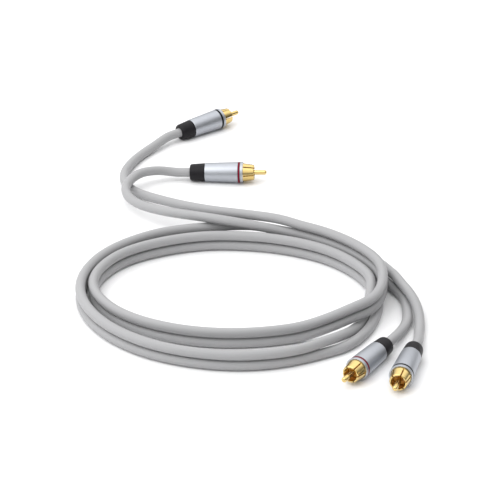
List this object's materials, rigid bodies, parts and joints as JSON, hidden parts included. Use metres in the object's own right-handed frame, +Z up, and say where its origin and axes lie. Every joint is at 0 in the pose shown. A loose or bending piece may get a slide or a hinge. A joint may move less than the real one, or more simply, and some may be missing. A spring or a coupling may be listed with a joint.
{
  "type": "audio cable",
  "caption": "Stereo audio lead of grey screened cable with phono plugs at both ends, lying in a loose coil.",
  "frame": {"origin": "middle of the footprint of the four plugs, on the surface that the cable lies on", "axes": "+Z up, +Y from the front pair of plugs towards the rear pair, +X to the right as seen from the front plugs"},
  "size_m": [0.2131, 0.3898, 0.0209],
  "materials": {
    "jacket": "matt warm grey flexible plastic",
    "boot": "smooth black moulded sleeve",
    "barrel": "satin silver, fine blasted",
    "red_band": "dark red enamel",
    "black_band": "black enamel",
    "gilt": "bright gold plate",
    "insulator": "dark moulded plastic",
    "tab": "stamped strip",
    "core": "white foamed insulation",
    "conductor": "bare copper"
  },
  "bodies": {
    "root": {"jacket_red": "jacket", "jacket_black": "jacket", "boot_red_front": "boot", "boot_black_front": "boot", "boot_red_rear": "boot", "boot_black_rear": "boot", "barrel_red_front": "barrel", "barrel_black_front": "barrel", "barrel_red_rear": "barrel", "barrel_black_rear": "barrel", "band_red_front": "red_band", "band_black_front": "black_band", "band_red_rear": "red_band", "band_black_rear": "black_band", "ground_shell_red_front": "gilt", "ground_shell_black_front": "gilt", "ground_shell_red_rear": "gilt", "ground_shell_black_rear": "gilt", "centre_pin_red_front": "gilt", "centre_pin_black_front": "gilt", "centre_pin_red_rear": "gilt", "centre_pin_black_rear": "gilt", "insulator_red_front": "insulator", "insulator_black_front": "insulator", "insulator_red_rear": "insulator", "insulator_black_rear": "insulator", "ground_tab_red_front": "tab", "ground_tab_black_front": "tab", "ground_tab_red_rear": "tab", "ground_tab_black_rear": "tab", "core_red_front": "core", "core_black_front": "core", "core_red_rear": "core", "core_black_rear": "core", "conductor_red_front": "conductor", "conductor_black_front": "conductor", "conductor_red_rear": "conductor", "conductor_black_rear": "conductor"}
  },
  "joints": []
}
